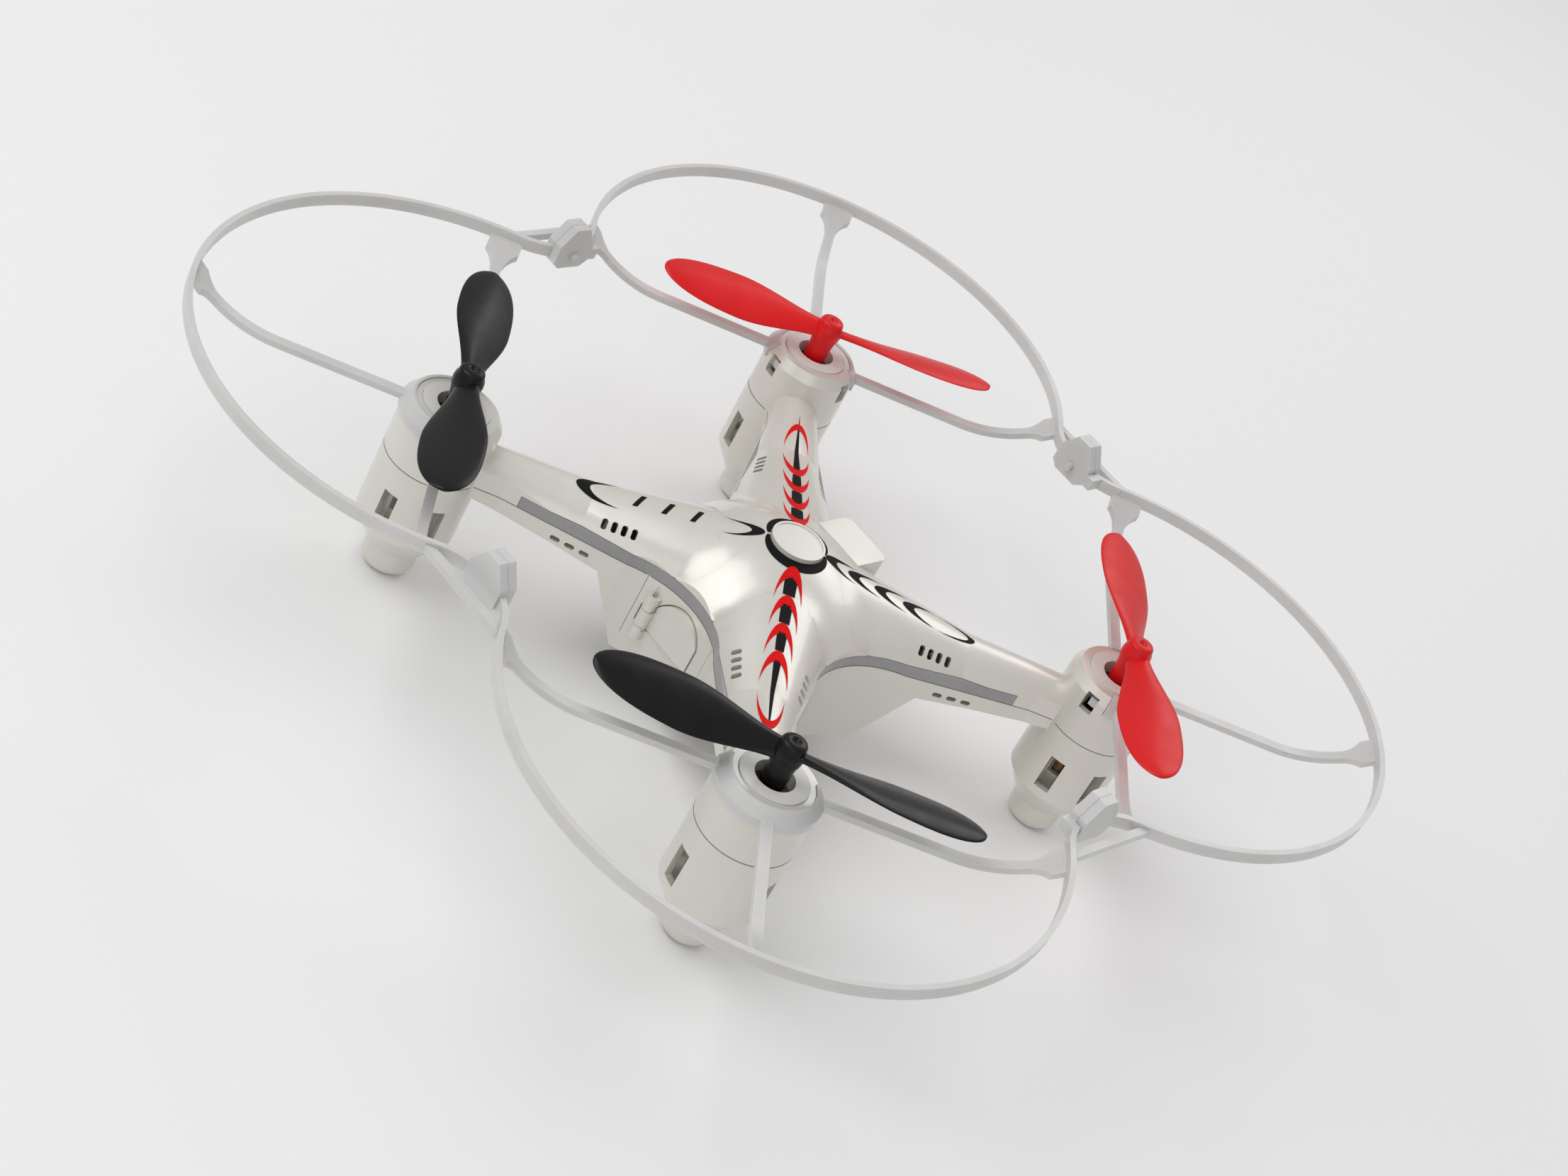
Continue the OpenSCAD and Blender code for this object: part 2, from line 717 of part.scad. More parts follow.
prop_guard(0);  // prop_guard_fl
prop_guard(1);  // prop_guard_rl
prop_guard(2);  // prop_guard_rr
prop_guard(3);  // prop_guard_fr
guard_brace(0);  // guard_brace_front
guard_brace(90);  // guard_brace_left
guard_brace(180);  // guard_brace_rear
guard_brace(270);  // guard_brace_right
charge_door();
door_pin();
battery_pack();
battery_plug();
circuit_board();
indicator_lamps();
motor_leads();
power_switch();
switch_slider();
case_screws();
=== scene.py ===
"""Visual model of the small four-rotor aircraft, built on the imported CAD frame.
X points to the nose, Y to the left and Z up; everything is in metres."""

import json
import math

import bmesh
import bpy
import numpy as np
from mathutils import Matrix, Vector
from mathutils.bvhtree import BVHTree


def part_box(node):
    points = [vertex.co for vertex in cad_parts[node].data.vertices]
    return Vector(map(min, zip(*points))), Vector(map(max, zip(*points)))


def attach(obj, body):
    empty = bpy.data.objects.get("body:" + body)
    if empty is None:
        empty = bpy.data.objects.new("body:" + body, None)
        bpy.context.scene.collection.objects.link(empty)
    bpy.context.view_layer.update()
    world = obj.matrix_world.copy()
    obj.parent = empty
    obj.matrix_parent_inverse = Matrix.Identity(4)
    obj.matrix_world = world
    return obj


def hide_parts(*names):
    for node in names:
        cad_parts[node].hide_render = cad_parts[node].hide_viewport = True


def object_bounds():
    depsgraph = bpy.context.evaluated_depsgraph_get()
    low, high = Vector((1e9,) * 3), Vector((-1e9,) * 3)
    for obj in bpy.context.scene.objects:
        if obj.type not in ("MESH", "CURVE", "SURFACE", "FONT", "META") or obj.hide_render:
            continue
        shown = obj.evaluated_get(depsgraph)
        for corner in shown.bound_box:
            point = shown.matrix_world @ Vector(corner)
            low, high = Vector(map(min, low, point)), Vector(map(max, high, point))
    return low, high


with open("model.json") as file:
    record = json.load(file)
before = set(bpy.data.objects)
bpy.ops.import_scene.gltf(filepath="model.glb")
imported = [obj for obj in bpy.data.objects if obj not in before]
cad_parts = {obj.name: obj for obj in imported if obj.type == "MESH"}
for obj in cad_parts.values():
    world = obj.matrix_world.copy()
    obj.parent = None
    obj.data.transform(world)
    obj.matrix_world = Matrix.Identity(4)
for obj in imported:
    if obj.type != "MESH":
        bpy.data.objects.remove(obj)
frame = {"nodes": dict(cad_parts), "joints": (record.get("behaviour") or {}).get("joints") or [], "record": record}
cad_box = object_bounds()
nodes = frame["nodes"]

MM = 0.001
CORNERS = ("fl", "rl", "rr", "fr")
CORNER_ANGLE = {name: math.radians(45 + 90 * i) for i, name in enumerate(CORNERS)}


# ---------------------------------------------------------------- places read from the frame

def middle(node):
    low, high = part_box(node)
    return (low + high) / 2


HUB = {c: middle("motor_can_" + c).xy for c in CORNERS}


def joint_height(name):
    for joint in frame["joints"]:
        if joint["name"] == name:
            return joint["pos_m"][2]
    raise ValueError(name)


BLADE_Z = joint_height("rotor_fl_spin")


# ---------------------------------------------------------------- materials

def shader(name):
    """A new material and its Principled shader."""
    material = bpy.data.materials.new(name)
    material.use_nodes = True
    return material, material.node_tree.nodes["Principled BSDF"]


def add_node(material, kind, **values):
    node = material.node_tree.nodes.new(kind)
    for key, value in values.items():
        if key in node.inputs:
            node.inputs[key].default_value = value
        else:
            setattr(node, key, value)
    return node


def link(material, source, target):
    material.node_tree.links.new(source, target)


def noise(material, scale, detail=4.0, stretch=(1, 1, 1)):
    """Noise in the object's own coordinates; the output is its factor."""
    place = add_node(material, "ShaderNodeTexCoord")
    mapping = add_node(material, "ShaderNodeMapping")
    mapping.inputs["Scale"].default_value = stretch
    texture = add_node(material, "ShaderNodeTexNoise", Scale=scale, Detail=detail)
    link(material, place.outputs["Object"], mapping.inputs["Vector"])
    link(material, mapping.outputs["Vector"], texture.inputs["Vector"])
    return texture.outputs["Fac"]


def spread(material, source, low, high):
    """source mapped from about 0.3-0.7 onto low-high."""
    remap = add_node(material, "ShaderNodeMapRange")
    for socket, value in zip(remap.inputs[1:5], (0.3, 0.7, low, high)):
        socket.default_value = value
    link(material, source, remap.inputs["Value"])
    return remap.outputs["Result"]


def bump(material, principled, source, height, strength=0.5):
    relief = add_node(material, "ShaderNodeBump", Strength=strength, Distance=height)
    link(material, source, relief.inputs["Height"])
    link(material, relief.outputs["Normal"], principled.inputs["Normal"])


def mix_colours(material, factor, first, second):
    blend = add_node(material, "ShaderNodeMix", data_type="RGBA")
    blend.inputs["A"].default_value = (*first, 1)
    blend.inputs["B"].default_value = (*second, 1)
    link(material, factor, blend.inputs["Factor"])
    return blend.outputs["Result"]


def plastic(name, colour, tint, rough=(0.22, 0.32), coat=0.3, grain=900, relief=0.00001,
            translucency=0.0, gloss=0.5):
    """Moulded plastic: slightly uneven colour and gloss and a fine moulded grain."""
    material, principled = shader(name)
    patches = noise(material, 60)
    colour_out = mix_colours(material, spread(material, patches, 0, 1), colour, tint)
    link(material, colour_out, principled.inputs["Base Color"])
    link(material, spread(material, noise(material, 240), *rough), principled.inputs["Roughness"])
    principled.inputs["Coat Weight"].default_value = coat
    principled.inputs["Coat Roughness"].default_value = 0.12
    principled.inputs["Subsurface Weight"].default_value = translucency
    principled.inputs["Subsurface Radius"].default_value = (0.0015, 0.0012, 0.0009)
    principled.inputs["Subsurface Scale"].default_value = 1.0
    principled.inputs["Specular IOR Level"].default_value = gloss
    bump(material, principled, noise(material, grain, 2), relief, 0.35)
    return material


def metal(name, colour, tint, rough=(0.22, 0.4), stretch=(1, 1, 12)):
    material, principled = shader(name)
    brushed = noise(material, 900, 3, stretch)
    link(material, mix_colours(material, spread(material, brushed, 0, 1), colour, tint),
         principled.inputs["Base Color"])
    link(material, spread(material, brushed, *rough), principled.inputs["Roughness"])
    principled.inputs["Metallic"].default_value = 1.0
    bump(material, principled, brushed, 0.00001, 0.3)
    return material


def pearl(name):
    """Ivory paint with a pearl lustre: fine flakes under a clear coat."""
    material, principled = shader(name)
    soft = noise(material, 28, 3)
    flakes = noise(material, 5200, 2)
    base = mix_colours(material, spread(material, soft, 0, 1), (0.77, 0.75, 0.69), (0.71, 0.69, 0.63))
    link(material, base, principled.inputs["Base Color"])
    link(material, spread(material, noise(material, 170), 0.31, 0.41), principled.inputs["Roughness"])
    principled.inputs["Metallic"].default_value = 0.3
    principled.inputs["Coat Weight"].default_value = 0.65
    principled.inputs["Coat Roughness"].default_value = 0.1
    principled.inputs["Subsurface Weight"].default_value = 0.06
    principled.inputs["Subsurface Radius"].default_value = (0.0012, 0.001, 0.0008)
    principled.inputs["Subsurface Scale"].default_value = 1.0
    bump(material, principled, flakes, 0.000004, 0.25)
    return material


def board_green():
    """Circuit board lacquer with copper tracks just under it."""
    material, principled = shader("board_green")
    place = add_node(material, "ShaderNodeTexCoord")
    tracks = add_node(material, "ShaderNodeTexBrick", Scale=260.0)
    tracks.inputs["Mortar Size"].default_value = 0.035
    tracks.inputs["Color1"].default_value = (0.02, 0.16, 0.07, 1)
    tracks.inputs["Color2"].default_value = (0.025, 0.19, 0.08, 1)
    tracks.inputs["Mortar"].default_value = (0.07, 0.30, 0.12, 1)
    link(material, place.outputs["Object"], tracks.inputs["Vector"])
    link(material, tracks.outputs["Color"], principled.inputs["Base Color"])
    principled.inputs["Roughness"].default_value = 0.3
    return material


SHELL = pearl("shell_pearl")
GUARD = plastic("guard_plastic", (0.66, 0.655, 0.65), (0.60, 0.595, 0.59), (0.28, 0.4), 0.15,
                translucency=0.25)
CAP = plastic("cap_plastic", (0.74, 0.73, 0.70), (0.69, 0.68, 0.65), (0.26, 0.36), 0.25, translucency=0.1)
STRIP = plastic("strip_smoke", (0.335, 0.33, 0.335), (0.285, 0.28, 0.28), (0.2, 0.3), 0.4)
RED = plastic("rotor_red", (0.78, 0.005, 0.007), (0.70, 0.004, 0.006), (0.32, 0.44), 0.06, grain=1500,
              gloss=0.3)
BLACK = plastic("rotor_black", (0.005, 0.005, 0.006), (0.008, 0.008, 0.009), (0.24, 0.34), 0.06, grain=1500,
                gloss=0.22)
INK_BLACK = plastic("ink_black", (0.003, 0.003, 0.003), (0.006, 0.006, 0.006), (0.5, 0.6), 0.0, gloss=0.12)
SHADOW = plastic("seam_shadow", (0.17, 0.155, 0.13), (0.14, 0.13, 0.11), (0.6, 0.7), 0.0, gloss=0.1)
INK_RED = plastic("ink_red", (0.80, 0.003, 0.004), (0.72, 0.002, 0.003), (0.5, 0.6), 0.0, gloss=0.12)
CAN = metal("motor_bronze", (0.20, 0.13, 0.07), (0.14, 0.09, 0.05))
STEEL = metal("bright_steel", (0.60, 0.60, 0.61), (0.50, 0.50, 0.51))
FILM = plastic("battery_film", (0.03, 0.09, 0.42), (0.02, 0.07, 0.34), (0.18, 0.3), 0.5)
PLUG = plastic("plug_nylon", (0.70, 0.69, 0.63), (0.64, 0.63, 0.57))
WIRE = plastic("wire_red", (0.45, 0.02, 0.02), (0.38, 0.015, 0.015), (0.4, 0.5), 0.1)
SWITCH = plastic("switch_black", (0.02, 0.02, 0.021), (0.03, 0.03, 0.031), (0.4, 0.55), 0.1)
LAMP = plastic("lamp_clear", (0.72, 0.80, 0.72), (0.66, 0.75, 0.66), (0.1, 0.16), 0.6, translucency=0.3)
BOARD = board_green()
SLOT_MATERIAL = {
    "shell": SHELL, "guard": GUARD, "strip": STRIP, "prop_red": RED, "prop_black": BLACK,
    "motor": CAN, "steel": STEEL, "cell": FILM, "board": BOARD, "plug": PLUG, "wire": WIRE,
    "switch": SWITCH, "lamp": LAMP,
}


# ---------------------------------------------------------------- CAD nodes that are shown

def soften(piece, width, limit=35):
    """A small rounded edge with hardened normals, as a bevel modifier only."""
    bevel = piece.modifiers.new("edge_rounding", "BEVEL")
    bevel.width = width
    bevel.segments = 3
    bevel.limit_method = "ANGLE"
    bevel.angle_limit = math.radians(limit)
    bevel.harden_normals = True
    bevel.use_clamp_overlap = True


EDGE_WIDTH = {
    "upper_shell": 0.25 * MM, "lower_shell": 0.25 * MM, "bottom_cover": 0.35 * MM,
    "rear_panel": 0.2 * MM, "charge_door": 0.2 * MM, "crown_disc": 0.12 * MM, "battery_pack": 0.8 * MM,
}


def dress_cad_nodes():
    slots = {part["node"]: part["material_slot"] for part in frame["record"]["subparts"]}
    for name, piece in nodes.items():
        material = SLOT_MATERIAL[slots[name]]
        if name.startswith("motor_cap"):
            material = CAP
        piece.data.materials.clear()
        piece.data.materials.append(material)
        width = EDGE_WIDTH.get(name)
        if name.startswith(("prop_guard", "guard_brace")):
            width = 0.22 * MM
        if name.startswith("light_strip"):
            width = 0.2 * MM
        if name.startswith("motor_cap"):
            width = 0.15 * MM
        if width:
            soften(piece, width)


dress_cad_nodes()


# ---------------------------------------------------------------- mesh helpers

def new_piece(name, bm, material, body, recalc=True):
    mesh = bpy.data.meshes.new(name)
    if recalc:
        bmesh.ops.recalc_face_normals(bm, faces=bm.faces)
    bm.to_mesh(mesh)
    bm.free()
    mesh.shade_smooth()
    mesh.materials.append(material)
    piece = bpy.data.objects.new(name, mesh)
    bpy.context.scene.collection.objects.link(piece)
    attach(piece, body)
    return piece


def skin(bm, rings, closed=True, caps=True):
    """Faces between rings of vertices that all have the same count."""
    for first, second in zip(rings, rings[1:]):
        count = len(first)
        for i in range(count if closed else count - 1):
            j = (i + 1) % count
            bm.faces.new((first[i], first[j], second[j], second[i]))
    if caps:
        bm.faces.new(rings[0][::-1])
        bm.faces.new(rings[-1])


# ---------------------------------------------------------------- propellers

ROOT_R = 1.2 * MM
ROOT_CHORD = 4.2 * MM
MID_CHORD = 10.8 * MM
WIDEST = 0.56
ROOT_THICK = 1.5 * MM
TIP_THICK = 0.55 * MM
ROOT_PITCH = math.radians(27)
TIP_PITCH = math.radians(9)
STATIONS = 44
SECTION_POINTS = 28


def chord(u):
    """Chord at fraction u of the blade's radius."""
    if u < WIDEST:
        rise = max(0.0, (u - 0.07) / (WIDEST - 0.07))
        ease = rise * rise * (3 - 2 * rise)
        return ROOT_CHORD + (MID_CHORD - ROOT_CHORD) * (0.65 * ease + 0.35 * math.sin(rise * math.pi / 2))
    fall = (u - WIDEST) / (1 - WIDEST)
    return MID_CHORD * max(0.0, 1 - fall ** 2.7) ** 0.5


def blade_section(u, radius, turn):
    """Points of one blade section at fraction u; turn is 1 for anticlockwise rotors."""
    wide = chord(u)
    thick = ROOT_THICK + (TIP_THICK - ROOT_THICK) * min(1.0, u / 0.45)
    thick = min(thick, 0.45 * wide + 0.05 * MM)
    pitch = ROOT_PITCH + (TIP_PITCH - ROOT_PITCH) * u ** 0.7
    droop = 0.9 * MM * u * u
    points = []
    for k in range(SECTION_POINTS):
        angle = 2 * math.pi * k / SECTION_POINTS
        along = math.cos(angle) * wide / 2
        nose = 1 + 0.25 * math.cos(angle)
        across = math.sin(angle) * thick / 2 * nose
        across += 0.06 * wide * (1 - (2 * along / wide) ** 2) if wide > 0 else 0
        y = (along * math.cos(pitch) - across * math.sin(pitch)) * turn
        z = along * math.sin(pitch) + across * math.cos(pitch)
        points.append(Vector((radius * u, y, z + droop - 0.3 * MM)))
    return points


def rest_angle(corner):
    """Direction of the CAD propeller's longer axis in plan."""
    hub = HUB[corner]
    best = 0, 0.0
    for vertex in nodes["propeller_" + corner].data.vertices:
        away = Vector(vertex.co.xy) - hub
        if away.length > best[1]:
            best = math.atan2(away.y, away.x), away.length
    return best[0]


def tip_radius(corner):
    hub = HUB[corner]
    return max((Vector(v.co.xy) - hub).length for v in nodes["propeller_" + corner].data.vertices)


HUB_PROFILE = (
    (-7.1, 1.75), (-7.2, 1.9), (-7.0, 2.05), (-5.4, 2.15), (-3.4, 2.2), (-2.2, 2.35), (-1.4, 2.6),
    (-0.4, 2.75), (0.6, 2.6), (1.0, 2.35), (1.7, 2.25), (2.05, 2.05), (2.25, 1.7), (2.3, 1.1), (2.3, 0.52),
    (0.7, 0.52),
)


def build_propeller(corner):
    turn = -1 if corner in ("fl", "rr") else 1
    radius = tip_radius(corner) - 0.02 * MM
    bm = bmesh.new()
    for side in (0, math.pi):
        spin = Matrix.Rotation(side, 3, "Z")
        rings = []
        for i in range(STATIONS + 1):
            linear = i / STATIONS
            u = ROOT_R / radius + (0.9995 - ROOT_R / radius) * math.sin(linear * math.pi / 2)
            rings.append([bm.verts.new(spin @ p) for p in blade_section(u, radius, turn)])
        skin(bm, rings)
    around = 40
    rings = []
    for z, r in HUB_PROFILE:
        rings.append([
            bm.verts.new((r * MM * math.cos(2 * math.pi * k / around),
                          r * MM * math.sin(2 * math.pi * k / around), z * MM))
            for k in range(around)])
    skin(bm, rings)
    place = Matrix.Translation((*HUB[corner], BLADE_Z)) @ Matrix.Rotation(rest_angle(corner), 4, "Z")
    bm.transform(place)
    red = corner in ("fl", "fr")
    piece = new_piece("rotor_blades_" + corner, bm, RED if red else BLACK,
                      "rotor_" + corner)
    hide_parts("propeller_" + corner)


for corner_name in CORNERS:
    build_propeller(corner_name)


# ---------------------------------------------------------------- soft blend of the crown and arms

def tree_of(mesh):
    return BVHTree.FromPolygons([v.co.copy() for v in mesh.vertices],
                                [tuple(p.vertices) for p in mesh.polygons])


TREES = [tree_of(nodes["upper_shell"].data)]


def surface_at(x, y):
    """Highest point of the upper shell at a place in plan and its upward normal, or None."""
    best = None
    for tree in TREES:
        hit, normal, _, _ = tree.ray_cast(Vector((x, y, cad_box[1][2] + 0.01)), Vector((0, 0, -1)))
        if hit is not None and (best is None or hit.z > best[0].z):
            best = hit, normal if normal.z > 0 else -normal
    return best


CROWN_DISC_R = (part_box("crown_disc")[1].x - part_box("crown_disc")[0].x) / 2
STRIP_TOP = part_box("light_strip_rear")[1].z
BLEND_REACH = 25.5 * MM
BLEND_STEP = 0.35 * MM
BLEND_ROUNDS = 260
BLEND_LIFT = 0.015 * MM
NOSE_X = 11.4 * MM
NOSE_HALF = 6.3 * MM


def crown_heights(axis):
    """Heights of the shell on a square grid, nan where the blend stays away."""
    top = np.full((len(axis), len(axis)), np.nan)
    for i, x in enumerate(axis):
        for j, y in enumerate(axis):
            away = math.hypot(x, y)
            if away > BLEND_REACH or away < CROWN_DISC_R + 0.3 * MM:
                continue
            if x > NOSE_X and abs(y) < NOSE_HALF:
                continue
            found = surface_at(x, y)
            if found and found[0].z > STRIP_TOP + 0.3 * MM:
                top[i, j] = found[0].z
    return top


def fill_valleys(top):
    """A soft surface that never lies under the shell and keeps to it at the grid's edges."""
    known = ~np.isnan(top)
    free = known.copy()
    for di in (-1, 0, 1):
        for dj in (-1, 0, 1):
            free &= np.roll(known, (di, dj), (0, 1))
    filled = np.where(known, top, 0.0)
    base = filled.copy()
    for _ in range(BLEND_ROUNDS):
        rows = (np.roll(filled, 1, 0) + 2 * filled + np.roll(filled, -1, 0)) / 4
        mean = (np.roll(rows, 1, 1) + 2 * rows + np.roll(rows, -1, 1)) / 4
        filled = np.where(free, np.maximum(base, mean), base)
    return filled, filled - base, known


def crown_blend():
    """Thin skin over the creases between the crown and the arms."""
    count = 2 * round(BLEND_REACH / BLEND_STEP) + 1
    axis = (np.arange(count) - count // 2) * BLEND_STEP
    filled, rise, known = fill_valleys(crown_heights(axis))
    bm = bmesh.new()
    made = {}

    def corner(i, j):
        if (i, j) not in made:
            made[i, j] = bm.verts.new((axis[i], axis[j], filled[i, j] + BLEND_LIFT))
        return made[i, j]

    for i in range(count - 1):
        for j in range(count - 1):
            if known[i:i + 2, j:j + 2].all() and rise[i:i + 2, j:j + 2].max() > 0.004 * MM:
                bm.faces.new((corner(i, j), corner(i + 1, j), corner(i + 1, j + 1), corner(i, j + 1)))
    piece = new_piece("crown_blend", bm, SHELL, "airframe", recalc=False)
    TREES.append(tree_of(piece.data))


crown_blend()


# ---------------------------------------------------------------- printed pattern on the shell

INK_LIFT = 0.07 * MM


def on_shell(point, lift=INK_LIFT):
    """The place on the upper shell's top under a plan point, just clear of its surface."""
    hit, normal = surface_at(point.x, point.y)
    return hit + normal * lift


def arm_point(corner, along, across):
    """Plan point at distances along and across an arm, in millimetres."""
    angle = CORNER_ANGLE[corner]
    ahead = Vector((math.cos(angle), math.sin(angle)))
    left = Vector((-ahead.y, ahead.x))
    return (ahead * along + left * across) * MM


def printed_band(name, first, second, count, material, across=6, lift=INK_LIFT):
    """Ink between two plan curves, each a function of a fraction from 0 to 1."""
    bm = bmesh.new()
    rows = []
    for i in range(count + 1):
        a, b = first(i / count), second(i / count)
        rows.append([bm.verts.new(on_shell(a.lerp(b, j / across), lift)) for j in range(across + 1)])
    for row, following in zip(rows, rows[1:]):
        for j in range(across):
            bm.faces.new((row[j], following[j], following[j + 1], row[j + 1]))
    bmesh.ops.remove_doubles(bm, verts=bm.verts, dist=1e-7)
    piece = new_piece(name, bm, material, "airframe")
    for face in piece.data.polygons:
        if face.normal.z < 0:
            piece.data.flip_normals()
            break
    return piece


def crescent(name, corner, vertex, length, half_width, thick, material):
    """U-shaped print whose middle is at vertex and whose tips are at vertex + length."""
    def outer(t):
        angle = (t - 0.5) * math.pi
        return arm_point(corner, vertex + length * (1 - math.cos(angle)), half_width * math.sin(angle))

    def inner(t):
        angle = (t - 0.5) * math.pi
        inset = math.cos(angle)
        along = vertex + length * (1 - math.cos(angle)) + math.copysign(thick, length) * inset
        return arm_point(corner, along, half_width * math.sin(angle) * (1 - 0.16 * inset))

    return printed_band(name, outer, inner, 56, material)


CRESCENT_STARTS = (6.3, 12.8, 19.4, 25.9)
SPEAR = ((5.6, 1.25), (24, 0.85), (34, 0.42), (47.5, 0.02))


def spear_half(along):
    for (s0, w0), (s1, w1) in zip(SPEAR, SPEAR[1:]):
        if along <= s1:
            return w0 + (w1 - w0) * (along - s0) / (s1 - s0)
    return SPEAR[-1][1]


def spear(corner):
    """Black tapering stripe, broken by the red crescents that cross it."""
    gaps = [(s, s + 2.2) for s in CRESCENT_STARTS] + [(42.6, 44.6)]
    start = SPEAR[0][0]
    pieces = []
    for low, high in gaps + [(SPEAR[-1][0], None)]:
        if low - start > 0.3:
            pieces.append((start, low))
        start = high
    for index, (s0, s1) in enumerate(pieces):
        def edge(t, side, s0=s0, s1=s1):
            along = s0 + (s1 - s0) * t
            return arm_point(corner, along, side * spear_half(along))

        printed_band("print_spear_%s_%d" % (corner, index + 1), lambda t: edge(t, -1),
                     lambda t: edge(t, 1), 14, INK_BLACK)


for corner_name in ("fl", "rr"):
    spear(corner_name)
    for number, first_s in enumerate(CRESCENT_STARTS):
        crescent("print_red_%s_%d" % (corner_name, number + 1), corner_name, first_s, 8.0, 2.5, 2.5,
                 INK_RED)
    crescent("print_red_%s_end" % corner_name, corner_name, 44.6, -8.6, 2.4, 2.0, INK_RED)

# Each crescent's vertex, length, half width and thickness are in millimetres
crescent("print_left_outer", "rl", 38.7, -8.2, 3.1, 2.5, INK_BLACK)
crescent("print_left_inner", "rl", 5.9, 7.2, 2.2, 2.2, INK_BLACK)


def slanted_bar(number, along):
    """Plain slanted bar, in place of lettering."""
    def edge(t, offset):
        return arm_point("rl", along + offset + 1.4 * (t - 0.5), 3.4 * (t - 0.5))

    printed_band("print_bar_%d" % number, lambda t: edge(t, -0.45), lambda t: edge(t, 0.45), 12,
                 INK_BLACK)


for number, bar_along in enumerate((27.5, 22.5, 17.5)):
    slanted_bar(number + 1, bar_along)

for number, first_s in enumerate((5.4, 10.2, 15.6, 21.4)):
    crescent("print_right_%d" % (number + 1), "fr", first_s, 7.0, 2.0, 2.3, INK_BLACK)
crescent("print_right_end", "fr", 36.2, -8.0, 2.0, 1.3, INK_BLACK)


def crown_print():
    """Two black crescents round the crown's disc, thick towards the red-striped arms."""
    for number, centre in enumerate((45, 225)):
        def edge(t, grow, centre=centre):
            angle = math.radians(centre + 174 * (t - 0.5))
            swell = math.cos((t - 0.5) * math.pi * 0.98) ** 0.75
            reach = CROWN_DISC_R + 0.06 * MM + (0.35 + grow * swell) * MM * (1 if grow else 0)
            return Vector((math.cos(angle), math.sin(angle))) * reach

        printed_band("print_crown_%d" % (number + 1), lambda t: edge(t, 0.0), lambda t: edge(t, 1.75),
                     90, INK_BLACK, lift=0.04 * MM)


crown_print()


# ---------------------------------------------------------------- joint line between the shells

SEAM_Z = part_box("upper_shell")[0].z
SEAM_HALF = 0.07 * MM
SEAM_LIFT = 0.02 * MM
FLANK_SEAM_STEPS = 90
# In millimetres: where the flank's line starts along the arm, how far from the motor axis it
# stops, and a distance across that is outside the body
FLANK_SEAM_START = 13.7
FLANK_SEAM_STOP = 7.9
OUTSIDE = 40
SEAM_PROBE = 0.1 * MM
POD_SEAM_STEPS = 72
POD_SEAM_OPENING = math.radians(34)
POD_R = middle("upper_shell").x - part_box("upper_shell")[0].x - HUB["fl"].x
WALL_TREES = [tree_of(nodes[name].data) for name in ("lower_shell", "rear_panel")]


def wall_at(place, inward):
    """First point of the body's wall met on the way in from a place, and the wall's normal, or None."""
    hits = [tree.ray_cast(place, inward)[:2] for tree in WALL_TREES]
    hits = [(hit, normal) for hit, normal in hits if hit is not None]
    return min(hits, key=lambda found: (found[0] - place).length) if hits else None


def seam_ribbon(name, points, normals):
    """Thin dark line that stands on the shells' outer wall at their joint."""
    bm = bmesh.new()
    rings = []
    for height in (-SEAM_HALF, SEAM_HALF):
        rings.append([bm.verts.new((p.x + n.x * SEAM_LIFT, p.y + n.y * SEAM_LIFT, SEAM_Z + height))
                      for p, n in zip(points, normals)])
    skin(bm, rings, closed=False, caps=False)
    new_piece(name, bm, SHADOW, "airframe", recalc=False)


def flank_seam(corner, side):
    """Joint line along one side of an arm, from the middle of the hollow side to the pod."""
    angle = CORNER_ANGLE[corner]
    outward = Vector((-math.sin(angle), math.cos(angle), 0)) * side
    points, normals = [], []
    end = HUB[corner].length / MM - FLANK_SEAM_STOP
    for i in range(FLANK_SEAM_STEPS + 1):
        along = FLANK_SEAM_START + (end - FLANK_SEAM_START) * i / FLANK_SEAM_STEPS
        place = arm_point(corner, along, side * OUTSIDE)
        found = wall_at(Vector((place.x, place.y, SEAM_Z - SEAM_PROBE)), -outward)
        if found is None:
            continue
        hit, normal = found
        points.append(hit)
        normals.append(normal if normal.dot(outward) > 0 else -normal)
    if side < 0:
        points.reverse()
        normals.reverse()
    seam_ribbon("joint_line_%s_%s" % (corner, "left" if side > 0 else "right"), points, normals)


def pod_seam(corner):
    """Joint line round a pod, open where its arm meets it."""
    points, normals = [], []
    sweep = 2 * (math.pi - POD_SEAM_OPENING)
    for i in range(POD_SEAM_STEPS + 1):
        angle = CORNER_ANGLE[corner] + math.pi + POD_SEAM_OPENING + sweep * i / POD_SEAM_STEPS
        normal = Vector((math.cos(angle), math.sin(angle), 0))
        points.append(Vector((*HUB[corner], 0)) + normal * POD_R)
        normals.append(normal)
    seam_ribbon("joint_line_" + corner, points, normals)


for corner_name in CORNERS:
    pod_seam(corner_name)
    for arm_side in (-1, 1):
        flank_seam(corner_name, arm_side)


# ---------------------------------------------------------------- floor, light and camera

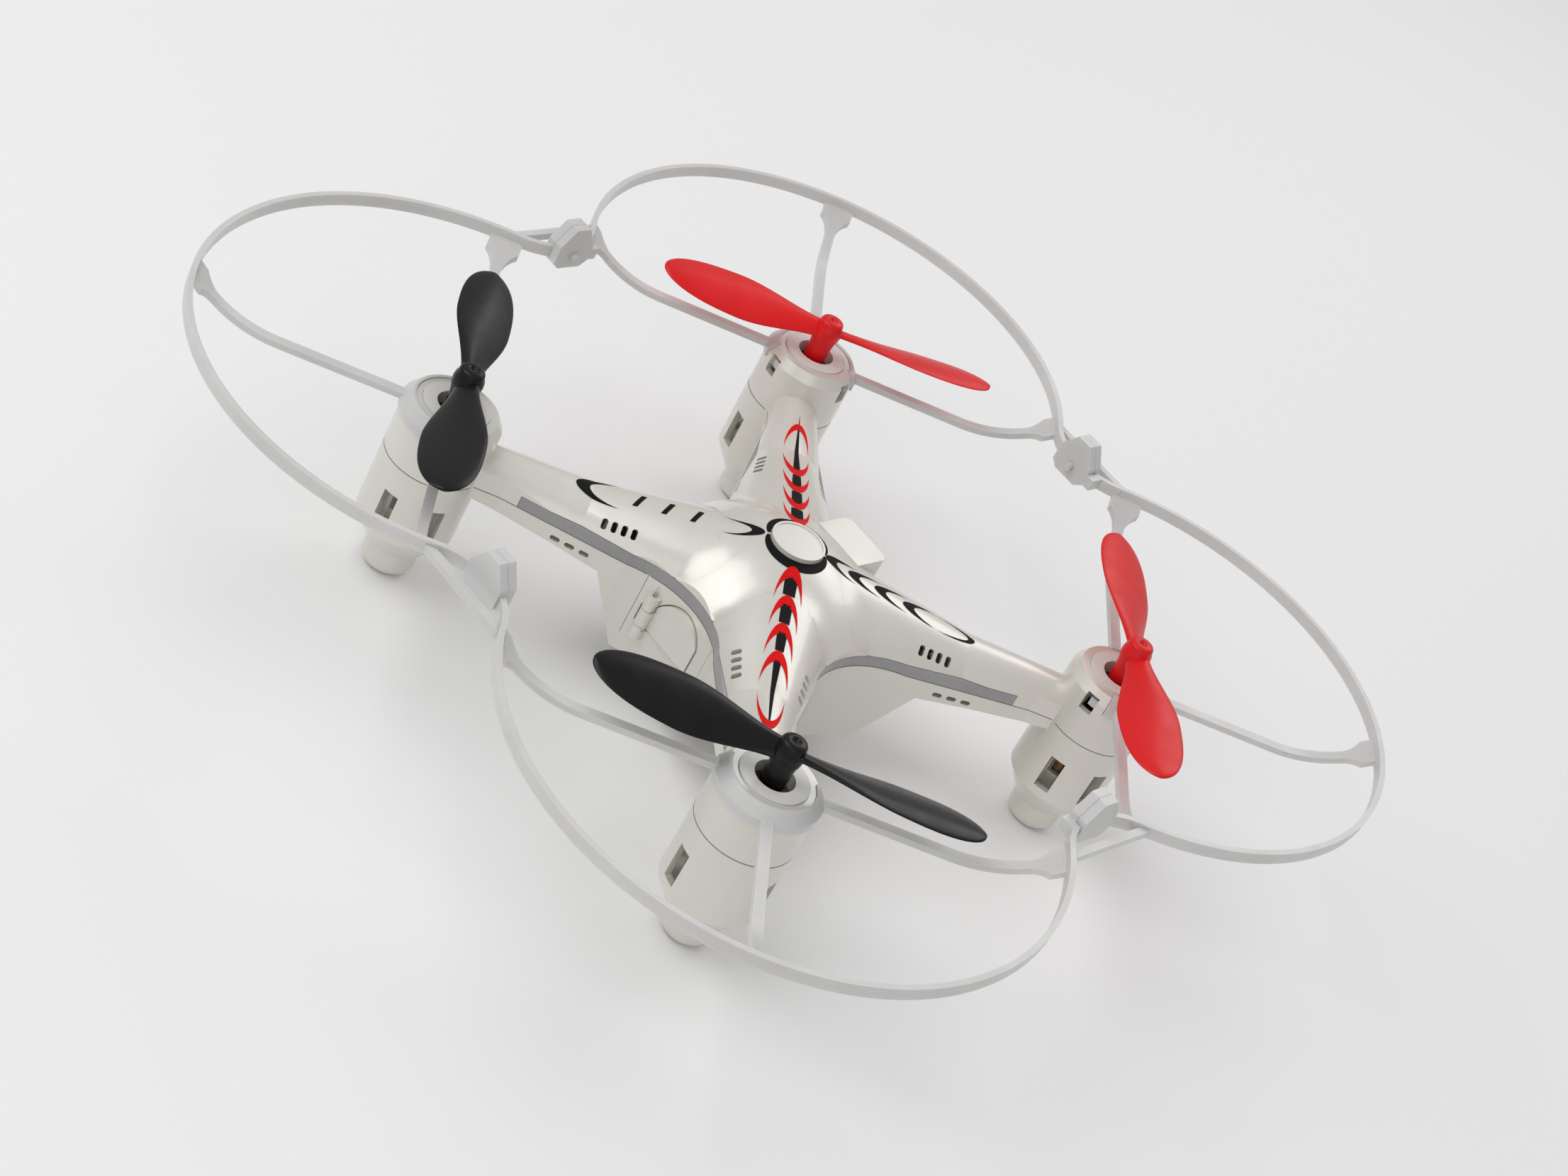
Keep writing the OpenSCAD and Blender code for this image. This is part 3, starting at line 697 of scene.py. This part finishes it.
def build_floor():
    half = 3.0
    bm = bmesh.new()
    bm.faces.new([bm.verts.new((x * half, y * half, cad_box[0][2]))
                  for x, y in ((-1, -1), (1, -1), (1, 1), (-1, 1))])
    mesh = bpy.data.meshes.new("floor")
    bm.to_mesh(mesh)
    bm.free()
    floor = bpy.data.objects.new("floor", mesh)
    material, principled = shader("floor_pale")
    principled.inputs["Base Color"].default_value = (0.93, 0.93, 0.93, 1)
    principled.inputs["Roughness"].default_value = 0.75
    mesh.materials.append(material)
    bpy.context.scene.collection.objects.link(floor)


def aim(thing, target):
    direction = Vector(target) - thing.location
    thing.rotation_euler = direction.to_track_quat("-Z", "Y").to_euler()


def area_light(name, place, target, size, power):
    light = bpy.data.lights.new(name, "AREA")
    light.shape = "RECTANGLE"
    light.size, light.size_y = size
    light.energy = power
    lamp = bpy.data.objects.new(name, light)
    lamp.location = place
    bpy.context.scene.collection.objects.link(lamp)
    aim(lamp, target)


def build_lights():
    world = bpy.data.worlds.new("studio")
    world.use_nodes = True
    background = world.node_tree.nodes["Background"]
    background.inputs["Color"].default_value = (1, 1, 1, 1)
    background.inputs["Strength"].default_value = 0.46
    bpy.context.scene.world = world
    area_light("key", (-0.35, 0.30, 0.75), (0, 0, 0.02), (0.75, 0.6), 3.2)
    area_light("fill", (-0.55, -0.5, 0.4), (0, 0, 0.02), (0.6, 0.5), 0.7)
    area_light("rim", (0.6, 0.1, 0.5), (0, 0, 0.03), (0.5, 0.3), 0.9)


def build_camera():
    """Seen from behind and to the right, from above, and rolled."""
    camera_data = bpy.data.cameras.new("camera")
    camera_data.sensor_width = 36
    camera_data.lens = 68.92
    camera_data.clip_start = 0.01
    camera_data.clip_end = 20
    camera = bpy.data.objects.new("camera", camera_data)
    right = Vector((0.68421, -0.60097, 0.41315))
    up = Vector((0.15459, 0.67316, 0.72316))
    back = right.cross(up).normalized()
    up = back.cross(right).normalized()
    pose = Matrix((right.normalized(), up, back)).transposed().to_4x4()
    pose.translation = Vector((-0.36665, -0.22373, 0.3118))
    camera.matrix_world = pose
    bpy.context.scene.collection.objects.link(camera)
    bpy.context.scene.camera = camera


build_floor()
build_lights()
build_camera()
bpy.context.scene.view_settings.view_transform = "Standard"
